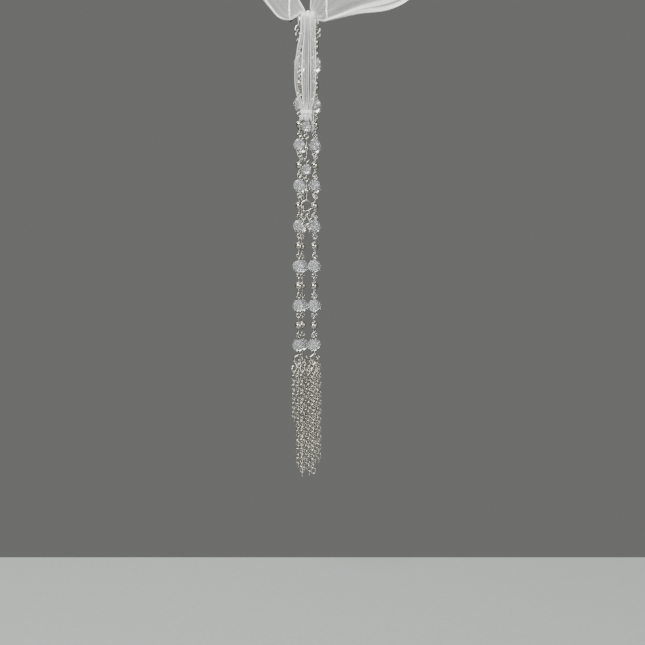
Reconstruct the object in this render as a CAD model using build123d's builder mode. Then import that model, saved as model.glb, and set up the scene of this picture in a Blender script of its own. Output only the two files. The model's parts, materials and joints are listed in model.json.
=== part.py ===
from build123d import *
from math import asin, cos, degrees, radians, sin, sqrt
import os

# Bow hair pin with hanging bead strands and chain tassels. Millimetres, +Z up.
# Origin: foot of the left prong's straight shank. The wearer's head is on the +Y side.

os.makedirs("parts", exist_ok=True)

# Fork pin
PRONG_SPACING = 18.6
PRONG_LENGTH = 64.0
PIN_WIRE_R = 0.7
PIN_BEND_R = 2.0
PIN_TIP_R = 0.5
BRIDGE_DROP = 3.0
BRIDGE_FORWARD = 7.0
BRIDGE_OVERHANG = 1.6

# Knot
KNOT_HALF_WIDTH = 4.9
KNOT_R = 4.7
KNOT_CROWN = 0.6
KNOT_END_WALL = 0.5
KNOT_BORE_GAP = 0.05
SLOT_GAP = 0.25
SLOT_ROOF = 1.1

# Bow loops
BOW_WALL = 1.2
BOW_DEPTH = 14.0
BOW_PIN_GAP = 1.9
BOW_KNOT_GAP = 0.2

# Hanger rings
HANGER_R = 4.4
HANGER_WIRE_R = 0.4
LINK_GAP = 0.05
RIDE_GAP = 0.1
STRAND_SIDE_GAP = 0.2
BACK_STRAND_GAP = 0.3
BACK_SHIFT = 0.2

# Small rings and eye loops
TOP_RING_R = 2.2
TOP_RING_WIRE_R = 0.3
EYE_R = 0.95
EYE_WIRE_R = 0.25
BEAD_NECK = 0.95
BEAD_HOLE_GAP = 0.05
CRYSTAL_R = 3.0
CRYSTAL_SIDES = 10
BALL_R = 1.75
UPPER_PAIRS = 5
LOWER_PAIRS = 3

# Tassels
TASSEL_RING_R = 2.15
TASSEL_RING_WIRE_R = 0.35
CHAIN_WIRE_R = 0.27
CHAIN_LENGTH_R = 1.475
CHAIN_WIDTH_R = 1.08
CHAIN_PLAY = 0.09
CHAIN_SIDE_GAP = 0.65
CHAIN_NEST = 0.35

# Ribbon tails
TAIL_THICK = 1.1
TAIL_HANGER_GAP = 0.6
TAIL_STRAND_GAP = 2.3
WAIST_Z = -48.5
WAIST_HEIGHT = 1.6
WAIST_WALL = 0.4
WAIST_GAP = 0.1
WAIST_EYE_SINK = 0.3
TAIL_SEAT = 0.5

# Short centre strand
CENTRE_CRYSTAL_R = 2.5
CENTRE_BALL_R = 1.3
CENTRE_CRYSTAL_NECK = 1.1
CENTRE_BALL_NECK = 2.05
CENTRE_RING_R = 2.6
CENTRE_RING_WIRE_R = 0.4
CENTRE_X = -0.6
CLASP_ANGLE = 30
CLASP_CHAIN_GAP = 0.07
CLASP_LINKS = 5

# Places that follow from the sizes above.
bridge_half = KNOT_HALF_WIDTH + BRIDGE_OVERHANG
knot_end_r = KNOT_R - KNOT_CROWN
slot_half = HANGER_WIRE_R + SLOT_GAP
hanger_x = KNOT_HALF_WIDTH - KNOT_END_WALL - slot_half
bow_centre_y = BRIDGE_FORWARD - PIN_WIRE_R - BOW_PIN_GAP - BOW_DEPTH / 2
strand_y = CRYSTAL_R + STRAND_SIDE_GAP
back_reach = CRYSTAL_R + BACK_STRAND_GAP / 2
bead_hole_r = EYE_WIRE_R + BEAD_HOLE_GAP
link_half_width = CHAIN_WIDTH_R + CHAIN_WIRE_R
chain_pitch = 2 * CHAIN_LENGTH_R - 2 * CHAIN_WIRE_R - CHAIN_PLAY
chain_spacing_x = link_half_width + CHAIN_SIDE_GAP
chain_spread_y = link_half_width - CHAIN_NEST
tail_root_y = -(HANGER_R + HANGER_WIRE_R + TAIL_HANGER_GAP)
tail_back_y = -(strand_y + CRYSTAL_R + TAIL_STRAND_GAP)
tail_y = tail_back_y - TAIL_THICK / 2

# One frame for the whole hanging ornament, centred where the bridge runs through the knot.
KNOT = Vector(PRONG_SPACING / 2, -BRIDGE_FORWARD, -BRIDGE_DROP)
FRONT = Plane(origin=KNOT, x_dir=(1, 0, 0), z_dir=(0, -1, 0))
SIDE = Plane(origin=KNOT, x_dir=(0, 1, 0), z_dir=(1, 0, 0))
HANG = Location(KNOT)


def save(solid, name):
    solid.label = name
    export_step(solid, f"parts/{name}.step")


def group(piece, places, name):
    """One node holding a copy of a piece at every place."""
    save(Compound(children=[piece.moved(place) for place in places]), name)


def round_wire_ring(ring_r, wire_r, turn):
    """A closed ring of round wire, turned from lying flat."""
    with BuildPart() as ring:
        Torus(ring_r, wire_r, rotation=turn)
    return ring.part


# Fork pin: bridge through the knot, two shanks standing up behind the bow.
with BuildPart() as fork_pin:
    with BuildLine() as fork_path:
        FilletPolyline(
            (0, 0, PRONG_LENGTH),
            (0, 0, -BRIDGE_DROP),
            (PRONG_SPACING / 2 - bridge_half, -BRIDGE_FORWARD, -BRIDGE_DROP),
            (PRONG_SPACING / 2 + bridge_half, -BRIDGE_FORWARD, -BRIDGE_DROP),
            (PRONG_SPACING, 0, -BRIDGE_DROP),
            (PRONG_SPACING, 0, PRONG_LENGTH),
            radius=PIN_BEND_R,
        )
    with BuildSketch(Plane(origin=(0, 0, PRONG_LENGTH), z_dir=(0, 0, -1))):
        Circle(PIN_WIRE_R)
    sweep()
    fillet(fork_pin.faces().filter_by(Axis.Z).edges(), radius=PIN_TIP_R)
save(fork_pin.part, "fork_pin")

# Knot: a barrel of wrapped ribbon with a bore for the bridge and a slot for each hanger ring.
with BuildPart() as ribbon_knot:
    with BuildSketch(FRONT):
        with BuildLine():
            ThreePointArc((-KNOT_HALF_WIDTH, knot_end_r), (0, KNOT_R), (KNOT_HALF_WIDTH, knot_end_r))
            Line((KNOT_HALF_WIDTH, knot_end_r), (KNOT_HALF_WIDTH, 0))
            Line((KNOT_HALF_WIDTH, 0), (-KNOT_HALF_WIDTH, 0))
            Line((-KNOT_HALF_WIDTH, 0), (-KNOT_HALF_WIDTH, knot_end_r))
        make_face()
    revolve(axis=Axis(KNOT, (1, 0, 0)))
    with BuildSketch(SIDE):
        Circle(PIN_WIRE_R + KNOT_BORE_GAP)
    extrude(amount=2 * KNOT_HALF_WIDTH, both=True, mode=Mode.SUBTRACT)
    for slot_x in (-hanger_x, hanger_x):
        with BuildSketch(SIDE.offset(slot_x)):
            Circle(KNOT_R - SLOT_ROOF)
            with BuildLine():
                Polyline(
                    (0, 0),
                    (2 * KNOT_R, 2 * KNOT_R),
                    (2 * KNOT_R, -2 * KNOT_R),
                    (-2 * KNOT_R, -2 * KNOT_R),
                    (-2 * KNOT_R, 2 * KNOT_R),
                    close=True,
                )
            make_face()
        extrude(amount=slot_half, both=True, mode=Mode.SUBTRACT)
save(ribbon_knot.part, "ribbon_knot")


def bow_loop(outline, root, angle, length):
    """A puffed ribbon loop: a teardrop band cut to its fanned outline."""
    half = BOW_DEPTH / 2
    run = (cos(radians(angle)), 0, sin(radians(angle)))
    across = (-sin(radians(angle)), 0, cos(radians(angle)))
    start = KNOT + Vector(root[0], bow_centre_y, root[1])
    inner = half - BOW_WALL
    with BuildPart() as loop:
        with BuildSketch(FRONT):
            with BuildLine():
                Spline(*outline, periodic=True)
            make_face()
        extrude(amount=BOW_DEPTH, both=True)
        with BuildSketch(Plane(origin=start, x_dir=run, z_dir=across)):
            with BuildLine():
                Spline(
                    (0, -1),
                    (0.35 * length, -0.8 * half),
                    (0.7 * length, -half),
                    (length, 0),
                    (0.7 * length, half),
                    (0.35 * length, 0.8 * half),
                    (0, 1),
                )
                Line((0, 1), (0, -1))
            make_face()
            with BuildLine():
                Spline(
                    (0.16 * length, 0),
                    (0.38 * length, -0.8 * inner),
                    (0.7 * length, -inner),
                    (length - BOW_WALL, 0),
                    (0.7 * length, inner),
                    (0.38 * length, 0.8 * inner),
                    (0.16 * length, 0),
                )
            make_face(mode=Mode.SUBTRACT)
        extrude(amount=60, both=True, mode=Mode.INTERSECT)
        with Locations(KNOT):
            Cylinder(
                KNOT_R + BOW_KNOT_GAP,
                2 * (KNOT_HALF_WIDTH + BOW_KNOT_GAP),
                rotation=(0, 90, 0),
                mode=Mode.SUBTRACT,
            )
    return loop.part


LEFT_OUTLINE = [
    (-2.2, 5.6),
    (-5.6, 1.6),
    (-12.5, 2.6),
    (-20.0, 10.0),
    (-28.5, 24.0),
    (-33.0, 38.0),
    (-27.0, 47.0),
    (-15.0, 46.0),
    (-8.5, 30.0),
    (-5.2, 12.0),
]
RIGHT_OUTLINE = [
    (1.2, 5.6),
    (6.0, 1.5),
    (12.0, 1.6),
    (26.0, 3.5),
    (41.0, 5.5),
    (51.0, 10.5),
    (56.0, 24.0),
    (48.0, 38.0),
    (30.0, 42.0),
    (12.0, 33.0),
    (1.0, 18.0),
]
save(bow_loop(LEFT_OUTLINE, (-2.0, 3.5), 124.0, 52.0), "bow_loop_left")
save(bow_loop(RIGHT_OUTLINE, (2.0, 3.5), 31.0, 60.0), "bow_loop_right")

# Hanger rings on the bridge, one each side, and the point where a strand's top ring rides on them.
hanger_drop = HANGER_R - HANGER_WIRE_R - PIN_WIRE_R - 2 * LINK_GAP
hang_angle = asin(strand_y / HANGER_R)
ride_z = -hanger_drop - HANGER_R * cos(hang_angle)
hanger_ring = round_wire_ring(HANGER_R, HANGER_WIRE_R, (0, 90, 0))
for side, ring_x in (("left", -hanger_x), ("right", hanger_x)):
    group(hanger_ring, [HANG * Location((ring_x, 0, -hanger_drop))], f"hanger_ring_{side}")

# Distances down a strand, from the ride point to each centre.
top_ring_top = (HANGER_WIRE_R + TOP_RING_WIRE_R + RIDE_GAP) / cos(hang_angle)
top_ring_drop = TOP_RING_R - top_ring_top
eye_top_drop = top_ring_drop + TOP_RING_R - TOP_RING_WIRE_R - EYE_WIRE_R - LINK_GAP
hook_step = 2 * EYE_R - 2 * EYE_WIRE_R - LINK_GAP
ball_eye = BALL_R + BEAD_NECK + EYE_R
crystal_eye = CRYSTAL_R + BEAD_NECK + EYE_R
bead_pitch = hook_step + ball_eye + crystal_eye
first_ball_drop = eye_top_drop + EYE_R + ball_eye


def faceted_bead(bead_r):
    """A round crystal cut in five rows of flat facets, bored for its wire."""
    with BuildPart() as bead:
        for height, share in ((-0.93, 0.45), (-0.6, 0.82), (-0.2, 1.0), (0.2, 1.0), (0.6, 0.82), (0.93, 0.45)):
            with BuildSketch(Plane.XY.offset(height * bead_r)):
                RegularPolygon(share * bead_r, CRYSTAL_SIDES)
        loft(ruled=True)
        Cylinder(bead_hole_r, 3 * bead_r, mode=Mode.SUBTRACT)
    return bead.part


def ball_bead(ball_r):
    """A plain bored ball."""
    with BuildPart() as ball:
        Sphere(ball_r)
        Cylinder(bead_hole_r, 3 * ball_r, mode=Mode.SUBTRACT)
    return ball.part


def eye_pin(reach, top_turn, bottom_turn):
    """A straight wire with a closed eye at each end."""
    with BuildPart() as pin:
        Cylinder(EYE_WIRE_R, 2 * (reach - EYE_R))
        with Locations((0, 0, reach)):
            Torus(EYE_R, EYE_WIRE_R, rotation=top_turn)
        with Locations((0, 0, -reach)):
            Torus(EYE_R, EYE_WIRE_R, rotation=bottom_turn)
    return pin.part


FACING = (90, 0, 0)
EDGE_ON = (0, 90, 0)

crystal = faceted_bead(CRYSTAL_R)
ball = ball_bead(BALL_R)
ball_pin = eye_pin(ball_eye, EDGE_ON, EDGE_ON)
crystal_pin = eye_pin(crystal_eye, FACING, FACING)
last_pin = eye_pin(crystal_eye, FACING, EDGE_ON)
top_ring = round_wire_ring(TOP_RING_R, TOP_RING_WIRE_R, FACING)
tassel_ring = round_wire_ring(TASSEL_RING_R, TASSEL_RING_WIRE_R, FACING)

# A chain link: an oval of round wire standing upright, its flat face to the front.
straight = CHAIN_LENGTH_R - CHAIN_WIDTH_R
with BuildPart() as chain_link_part:
    with BuildLine(Plane.XZ) as link_path:
        Line((CHAIN_WIDTH_R, -straight), (CHAIN_WIDTH_R, straight))
        CenterArc((0, straight), CHAIN_WIDTH_R, 0, 180)
        Line((-CHAIN_WIDTH_R, straight), (-CHAIN_WIDTH_R, -straight))
        CenterArc((0, -straight), CHAIN_WIDTH_R, 180, 180)
    with BuildSketch(Plane(origin=(CHAIN_WIDTH_R, 0, -straight), z_dir=(0, 0, 1))):
        Circle(CHAIN_WIRE_R)
    sweep()
chain_link = chain_link_part.part


def chain_places(hook, spread, count):
    """Places of the links of one chain that leaves a hook and moves out to its spread.

    A chain is out sideways by its second link and at its depth by its third, so neighbours pass.
    """
    points = [Vector(*hook)]
    for index in range(1, count):
        x = spread[0]
        y = hook[1] + (spread[1] - hook[1]) * min(index / 2, 1)
        last = points[-1]
        fall = sqrt(chain_pitch**2 - (x - last.X) ** 2 - (y - last.Y) ** 2)
        points.append(Vector(x, y, last.Z - fall))
    places = []
    for index, point in enumerate(points):
        before = points[max(index - 1, 0)]
        after = points[min(index + 1, count - 1)]
        up = (before - after).normalized()
        flat = Vector(0, 1, 0) if index % 2 == 0 else Vector(1, 0, 0)
        flat = (flat - up * flat.dot(up)).normalized()
        places.append(Plane(origin=point, x_dir=flat, z_dir=up).location)
    return places


def ring_hooks(ring_r, wire_r, angles):
    """Where a first link hangs on a ring, at each angle from straight down."""
    hooks = []
    for angle in angles:
        turn = radians(angle)
        reach = CHAIN_LENGTH_R - (wire_r + CHAIN_WIRE_R + LINK_GAP) / cos(turn)
        hooks.append((ring_r * sin(turn), 0, -ring_r * cos(turn) - reach))
    return hooks


# Four main strands: side, depth, sideways drift over the whole length, links in its three chains.
STRANDS = {
    "left_front": (-1, -1, -1.2, (13, 23, 25)),
    "left_back": (-1, 1, BACK_SHIFT - back_reach + hanger_x, (19, 25, 24)),
    "right_front": (1, -1, -1.1, (25, 24, 18)),
    "right_back": (1, 1, BACK_SHIFT + back_reach - hanger_x, (24, 22, 23)),
}
TASSEL_ANGLES = (-40, 0, 40)
# Sideways place and depth of each chain. Depth turns over between sides, so inner chains pass.
TASSEL_SPREAD = (
    (-chain_spacing_x, chain_spread_y),
    (0.0, -chain_spread_y),
    (chain_spacing_x, chain_spread_y),
)
pair_count = UPPER_PAIRS + LOWER_PAIRS
last_crystal_drop = first_ball_drop + (2 * pair_count - 1) * bead_pitch
tassel_hook_drop = last_crystal_drop + crystal_eye + EYE_R
tassel_ring_drop = tassel_hook_drop - EYE_WIRE_R - TASSEL_RING_WIRE_R - LINK_GAP + TASSEL_RING_R

for strand, (side, depth, drift, link_counts) in STRANDS.items():
    tilt = degrees(asin(drift / last_crystal_drop))
    top = HANG * Location((side * hanger_x, depth * strand_y, ride_z), (0, -tilt, 0))
    drops = [first_ball_drop + index * bead_pitch for index in range(2 * pair_count)]
    places = [top * Location((0, 0, -drop)) for drop in drops]
    split = 2 * UPPER_PAIRS
    group(top_ring, [top * Location((0, 0, -top_ring_drop))], f"{strand}_top_ring")
    for span, chosen in (("upper", places[:split]), ("lower", places[split:])):
        group(ball, chosen[0::2], f"{strand}_{span}_balls")
        group(crystal, chosen[1::2], f"{strand}_{span}_crystals")
        pins = [ball_pin.moved(place) for place in chosen[0::2]]
        pins += [crystal_pin.moved(place) for place in chosen[1::2][:-1]]
        end_pin = crystal_pin if span == "upper" else last_pin
        pins.append(end_pin.moved(chosen[-1]))
        save(Compound(children=pins), f"{strand}_{span}_eye_pins")
    hook_x = side * hanger_x + drift * tassel_hook_drop / last_crystal_drop
    ring_place = HANG * Location((hook_x, depth * strand_y, ride_z - tassel_ring_drop))
    group(tassel_ring, [ring_place], f"{strand}_tassel_ring")
    hooks = ring_hooks(TASSEL_RING_R, TASSEL_RING_WIRE_R, TASSEL_ANGLES)
    for half, picks in (("outer", (0, 2)), ("middle", (1,))):
        chains = []
        for pick in picks:
            out, deep = TASSEL_SPREAD[pick]
            chains += chain_places(hooks[pick], (out, side * deep), link_counts[pick])
        group(chain_link, [ring_place * place for place in chains], f"{strand}_{half}_chains")

# Ribbon tails: three flat strips hanging in front, gathered by a thread at the waist.
waist_bottom = WAIST_Z - WAIST_HEIGHT / 2
tail_end = waist_bottom + TAIL_SEAT
TAIL_SIDE = [
    (tail_root_y - TAIL_THICK, -2.2),
    (tail_root_y - 1.3 - TAIL_THICK, -8.0),
    (tail_root_y - 2.7 - TAIL_THICK, -16.0),
    (tail_back_y - TAIL_THICK, -24.0),
    (tail_back_y - TAIL_THICK, tail_end),
    (tail_back_y, tail_end),
    (tail_back_y, -24.0),
    (tail_root_y - 2.7, -16.3),
    (tail_root_y - 1.3, -8.4),
    (tail_root_y, -2.8),
]
TAILS = {
    "left": (
        [(-3.4, 0.0), (-3.3, -9.0), (-5.0, -19.0), (-6.1, -30.0), (-5.6, -38.0), (-4.0, -44.0), (-3.0, -47.5)],
        [(-1.5, 0.0), (-1.4, -9.0), (-3.5, -19.0), (-4.8, -30.0), (-4.3, -38.0), (-2.7, -44.0), (-1.7, -47.5)],
    ),
    "centre": (
        [(-1.3, 0.0), (-1.2, -9.0), (-2.2, -19.0), (-2.6, -30.0), (-2.3, -38.0), (-1.9, -44.0), (-1.5, -47.5)],
        [(0.9, 0.0), (1.0, -9.0), (0.9, -19.0), (0.8, -30.0), (0.7, -38.0), (0.6, -44.0), (0.3, -47.5)],
    ),
    "right": (
        [(1.1, 0.0), (1.2, -9.0), (1.3, -19.0), (1.4, -30.0), (1.3, -38.0), (1.0, -44.0), (0.5, -47.5)],
        [(4.0, 0.0), (3.9, -9.0), (4.1, -19.0), (4.2, -30.0), (3.9, -38.0), (2.9, -44.0), (2.0, -47.5)],
    ),
}
for name, (left_edge, right_edge) in TAILS.items():
    low_left = (left_edge[-1][0], tail_end - 1)
    low_right = (right_edge[-1][0], tail_end - 1)
    with BuildPart() as ribbon_tail:
        with BuildSketch(SIDE):
            with BuildLine():
                Polyline(*TAIL_SIDE, close=True)
            make_face()
        extrude(amount=20, both=True)
        with BuildSketch(FRONT):
            with BuildLine():
                Spline(*left_edge)
                Line(left_edge[-1], low_left)
                Line(low_left, low_right)
                Line(low_right, right_edge[-1])
                Spline(*right_edge)
                Line(right_edge[0], left_edge[0])
            make_face()
        extrude(amount=15, mode=Mode.INTERSECT)
    save(ribbon_tail.part, f"ribbon_tail_{name}")

# Waist thread: a bound cap round the three tails, with an eye below it for the centre strand.
waist_left = TAILS["left"][0][-1][0] - WAIST_GAP
waist_right = TAILS["right"][1][-1][0] + WAIST_GAP
waist_width = waist_right - waist_left
waist_depth = TAIL_THICK + 2 * WAIST_GAP
waist_x = (waist_left + waist_right) / 2
waist_eye_z = waist_bottom - WAIST_EYE_SINK
with BuildPart() as waist_thread:
    with BuildSketch(Plane(origin=KNOT + Vector(waist_x, tail_y, waist_bottom))):
        RectangleRounded(waist_width + 2 * WAIST_WALL, waist_depth + 2 * WAIST_WALL, 2 * WAIST_WALL)
    extrude(amount=WAIST_HEIGHT)
    with Locations(KNOT + Vector(CENTRE_X, tail_y, waist_eye_z)):
        Torus(EYE_R, EYE_WIRE_R, rotation=EDGE_ON)
    with BuildSketch(Plane(origin=KNOT + Vector(waist_x, tail_y, tail_end - WAIST_GAP))):
        Rectangle(waist_width, waist_depth)
    extrude(amount=WAIST_HEIGHT, mode=Mode.SUBTRACT)
save(waist_thread.part, "waist_thread")

# Short centre strand: crystal, ball, crystal, ball, a clasp ring and two little chains.
centre_crystal = faceted_bead(CENTRE_CRYSTAL_R)
centre_ball = ball_bead(CENTRE_BALL_R)
centre_crystal_eye = CENTRE_CRYSTAL_R + CENTRE_CRYSTAL_NECK + EYE_R
centre_ball_eye = CENTRE_BALL_R + CENTRE_BALL_NECK + EYE_R
centre_pitch = hook_step + centre_crystal_eye + centre_ball_eye
centre_crystal_pin = eye_pin(centre_crystal_eye, FACING, FACING)
centre_ball_pin = eye_pin(centre_ball_eye, EDGE_ON, EDGE_ON)
centre_top = waist_eye_z - hook_step
centre_first = centre_top - centre_crystal_eye
centre = [HANG * Location((CENTRE_X, tail_y, centre_first - index * centre_pitch)) for index in range(4)]
group(centre_crystal, centre[0::2], "centre_crystals")
group(centre_ball, centre[1::2], "centre_balls")
centre_pins = [centre_crystal_pin.moved(place) for place in centre[0::2]]
centre_pins += [centre_ball_pin.moved(place) for place in centre[1::2]]
save(Compound(children=centre_pins), "centre_eye_pins")
clasp_top = centre_first - 3 * centre_pitch - centre_ball_eye - EYE_R
clasp_z = clasp_top + EYE_WIRE_R + CENTRE_RING_WIRE_R + LINK_GAP - CENTRE_RING_R
clasp_place = HANG * Location((CENTRE_X, tail_y, clasp_z))
clasp_ring = round_wire_ring(CENTRE_RING_R, CENTRE_RING_WIRE_R, FACING)
group(clasp_ring, [clasp_place], "centre_clasp_ring")
clasp_hooks = ring_hooks(CENTRE_RING_R, CENTRE_RING_WIRE_R, (-CLASP_ANGLE, CLASP_ANGLE))
clasp_spread = link_half_width + CLASP_CHAIN_GAP
clasp_chains = chain_places(clasp_hooks[0], (-clasp_spread, 0), CLASP_LINKS)
clasp_chains += chain_places(clasp_hooks[1], (clasp_spread, 0), CLASP_LINKS)
group(chain_link, [clasp_place * place for place in clasp_chains], "centre_chains")
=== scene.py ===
"""Bow hair pin with bead strands and chain tassels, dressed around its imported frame.

The pin, rings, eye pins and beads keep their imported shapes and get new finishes. The ribbon pieces are
new surfaces worked out with numpy: bow loops, knot, tails, waist binding and frayed threads. The fine
chains are rebuilt link by link from their packed rings, with fewer faces.
Lengths in the ribbon and chain classes are millimetres measured from the knot, and new_piece turns them
into metres. Studio's lengths are metres.
"""

from __future__ import annotations

import json
import logging
import math
from dataclasses import dataclass, field
from enum import Enum

import bpy
import numpy as np
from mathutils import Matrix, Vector


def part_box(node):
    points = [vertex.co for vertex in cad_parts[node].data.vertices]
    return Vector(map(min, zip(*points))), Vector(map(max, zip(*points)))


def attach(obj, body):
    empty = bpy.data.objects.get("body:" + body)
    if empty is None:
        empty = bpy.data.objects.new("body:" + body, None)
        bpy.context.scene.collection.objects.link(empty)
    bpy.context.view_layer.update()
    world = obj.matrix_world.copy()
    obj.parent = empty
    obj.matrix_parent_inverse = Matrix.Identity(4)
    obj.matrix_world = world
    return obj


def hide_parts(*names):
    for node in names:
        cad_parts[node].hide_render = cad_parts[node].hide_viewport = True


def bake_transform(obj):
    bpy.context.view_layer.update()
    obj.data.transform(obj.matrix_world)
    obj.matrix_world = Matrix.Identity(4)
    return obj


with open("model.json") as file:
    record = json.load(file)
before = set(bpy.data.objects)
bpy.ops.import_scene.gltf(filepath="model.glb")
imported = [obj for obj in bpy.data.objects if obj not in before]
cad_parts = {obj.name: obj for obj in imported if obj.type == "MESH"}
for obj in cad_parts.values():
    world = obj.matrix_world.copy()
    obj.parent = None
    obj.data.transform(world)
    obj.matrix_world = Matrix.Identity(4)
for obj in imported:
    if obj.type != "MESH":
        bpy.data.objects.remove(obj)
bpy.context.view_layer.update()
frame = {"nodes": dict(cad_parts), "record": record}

LOG = logging.getLogger("bow_pin")
MM = 0.001

# Places that several pieces share, in millimetres from the knot.
WAIST_Z = -48.5
TAIL_PLANE_Y = -9.05
# A strip that is drawn narrower is declared at this width. Names that the pieces and their
# materials share.
CLOTH_UV = "cloth"
SATIN = "satin"

RGBA = tuple[float, float, float, float]
Point = tuple[float, float, float]
Stops = list[tuple[float, float]]


def knot_centre() -> np.ndarray:
    """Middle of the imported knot, where the bridge runs through it, in metres."""
    low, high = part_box("ribbon_knot")
    return (np.array(low) + np.array(high)) / 2


KNOT = knot_centre()


class Body(Enum):
    """The moving bodies that new pieces ride on."""

    PIN = "bow_pin"
    TAILS = "ribbon_tails"


class Slot(Enum):
    """Material slots of the record."""

    STEEL = "pin_steel"
    CHROME = "bright_chrome"
    CRYSTAL = "crystal"
    ORGANZA = "organza"
    THREAD = "white_thread"


# ---- mesh helpers


def smoothstep(value: np.ndarray) -> np.ndarray:
    """Eases 0 to 1 with flat ends: 3t squared minus 2t cubed, clipped."""
    t = np.clip(value, 0.0, 1.0)
    return t * t * (3.0 - 2.0 * t)


def eased(at: np.ndarray, stops: Stops) -> np.ndarray:
    """Smooth curve through (place, value) stops, by cubic Hermite pieces with averaged slopes.

    Args:
        at: Places to read, any shape.
        stops: Rising places and their values.

    Returns:
        Values with the shape of at.
    """
    xs, ys = np.array(stops, float).T
    slopes = np.gradient(ys, xs)
    index = np.clip(np.searchsorted(xs, at) - 1, 0, len(xs) - 2)
    span = xs[index + 1] - xs[index]
    t = np.clip((at - xs[index]) / span, 0.0, 1.0)
    keep = (1 + 2 * t) * (1 - t) ** 2 * ys[index] + t**2 * (3 - 2 * t) * ys[index + 1]
    lean = t * (1 - t) ** 2 * slopes[index] - t**2 * (1 - t) * slopes[index + 1]
    return keep + span * lean


def grid_faces(rows: int, columns: int, wrap_rows: bool, wrap_columns: bool) -> np.ndarray:
    """Corner indices of the quads of a grid, wrapped round either way on request.

    Args:
        rows: Points along the first parameter.
        columns: Points along the second parameter.
        wrap_rows: Whether the last row joins the first.
        wrap_columns: Whether the last column joins the first.

    Returns:
        Array of quads, four indices each.
    """
    i = np.arange(rows if wrap_rows else rows - 1)[:, None]
    j = np.arange(columns if wrap_columns else columns - 1)[None, :]
    i2, j2 = (i + 1) % rows, (j + 1) % columns
    corners = (i * columns + j, i2 * columns + j, i2 * columns + j2, i * columns + j2)
    return np.stack([np.broadcast_to(c, (i.size, j.size)) for c in corners], -1).reshape(-1, 4)


def new_object(name: str, data: bpy.types.ID) -> bpy.types.Object:
    """A new object in the scene, at the origin."""
    made = bpy.data.objects.new(name, data)
    bpy.context.scene.collection.objects.link(made)
    return made


def new_piece(name: str, points: np.ndarray, faces: np.ndarray) -> bpy.types.Object:
    """A shaded-smooth mesh object from points in millimetres from the knot.

    Args:
        name: Piece name.
        points: Array of shape (count, 3).
        faces: Array of quads.

    Returns:
        The new object, at the origin.
    """
    mesh = bpy.data.meshes.new(name)
    mesh.from_pydata((points * MM + KNOT).tolist(), [], faces.tolist())
    mesh.polygons.foreach_set("use_smooth", np.ones(len(mesh.polygons), bool))
    mesh.update()
    return new_object(name, mesh)


def strip_piece(name: str, points: np.ndarray) -> bpy.types.Object:
    """A new piece from an open grid of points, shape (along, across, 3), in millimetres from the knot."""
    return new_piece(name, points.reshape(-1, 3), grid_faces(*points.shape[:2], False, False))


def add_uv(piece: bpy.types.Object, u: np.ndarray, v: np.ndarray) -> None:
    """Gives every vertex a place on the flat cloth, in millimetres, as the piece's UV map."""
    mesh = piece.data
    layer = mesh.uv_layers.new(name=CLOTH_UV)
    corners = np.empty(len(mesh.loops), np.int32)
    mesh.loops.foreach_get("vertex_index", corners)
    pairs = np.stack([u.ravel()[corners], v.ravel()[corners]], -1)
    layer.data.foreach_set("uv", pairs.ravel().astype(np.float32))


def add_value(piece: bpy.types.Object, name: str, values: np.ndarray) -> None:
    """Stores one number per vertex as a named attribute that a material can read."""
    layer = piece.data.attributes.new(name, "FLOAT", "POINT")
    layer.data.foreach_set("value", values.ravel().astype(np.float32))


def thicken(piece: bpy.types.Object, wall: float) -> None:
    """Gives an open sheet its real thickness, in millimetres, with closed edges."""
    shell = piece.modifiers.new("thickness", "SOLIDIFY")
    shell.thickness = wall * MM
    shell.offset = 0.0
    shell.use_even_offset = False


def tube_grid(path: np.ndarray, radius: np.ndarray, sides: int) -> np.ndarray:
    """Rings of points round a path: path + radius (cos a times normal + sin a times binormal).

    Args:
        path: Points along the middle, shape (..., steps, 3).
        radius: Radius at each step, shape that fits (..., steps).
        sides: Points round each ring.

    Returns:
        Array of shape (..., steps, sides, 3).
    """
    tangent = np.gradient(path, axis=-2)
    tangent /= np.linalg.norm(tangent, axis=-1, keepdims=True)
    guide = np.broadcast_to(np.array([0.03, 1.0, 0.02]), tangent.shape)
    normal = np.cross(tangent, guide)
    normal /= np.linalg.norm(normal, axis=-1, keepdims=True)
    binormal = np.cross(tangent, normal)
    angle = np.linspace(0, 2 * math.pi, sides, endpoint=False)[:, None]
    ring = np.cos(angle) * normal[..., None, :] + np.sin(angle) * binormal[..., None, :]
    return path[..., None, :] + radius[..., None, None] * ring


def many_tubes(name: str, paths: np.ndarray, radius: np.ndarray, sides: int) -> bpy.types.Object:
    """One piece holding a closed thin tube round each path; the ends taper to nearly a point.

    Args:
        name: Piece name.
        paths: Shape (tubes, steps, 3).
        radius: Shape (tubes, steps).
        sides: Points round each tube.

    Returns:
        The new object.
    """
    count, steps = paths.shape[:2]
    ends = np.ones(steps)
    ends[[0, -1]] = 0.05
    grid = tube_grid(paths, radius * ends, sides)
    one = grid_faces(steps, sides, False, True)
    shift = (np.arange(count) * steps * sides)[:, None, None]
    faces = (one[None] + shift).reshape(-1, 4)[:, ::-1]
    return new_piece(name, grid.reshape(-1, 3), faces)


def finish_piece(piece: bpy.types.Object, finishes: Finishes, body: Body, slot: Slot, *nodes: str) -> None:
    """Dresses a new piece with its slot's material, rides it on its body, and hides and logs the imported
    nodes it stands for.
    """
    finishes.dress(piece, slot)
    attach(piece, body.value)
    if nodes:
        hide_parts(*nodes)
    LOG.info("piece %s rides on %s for %s", piece.name, body.value, ", ".join(nodes) or "detail only")


# ---- shader groups


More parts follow.
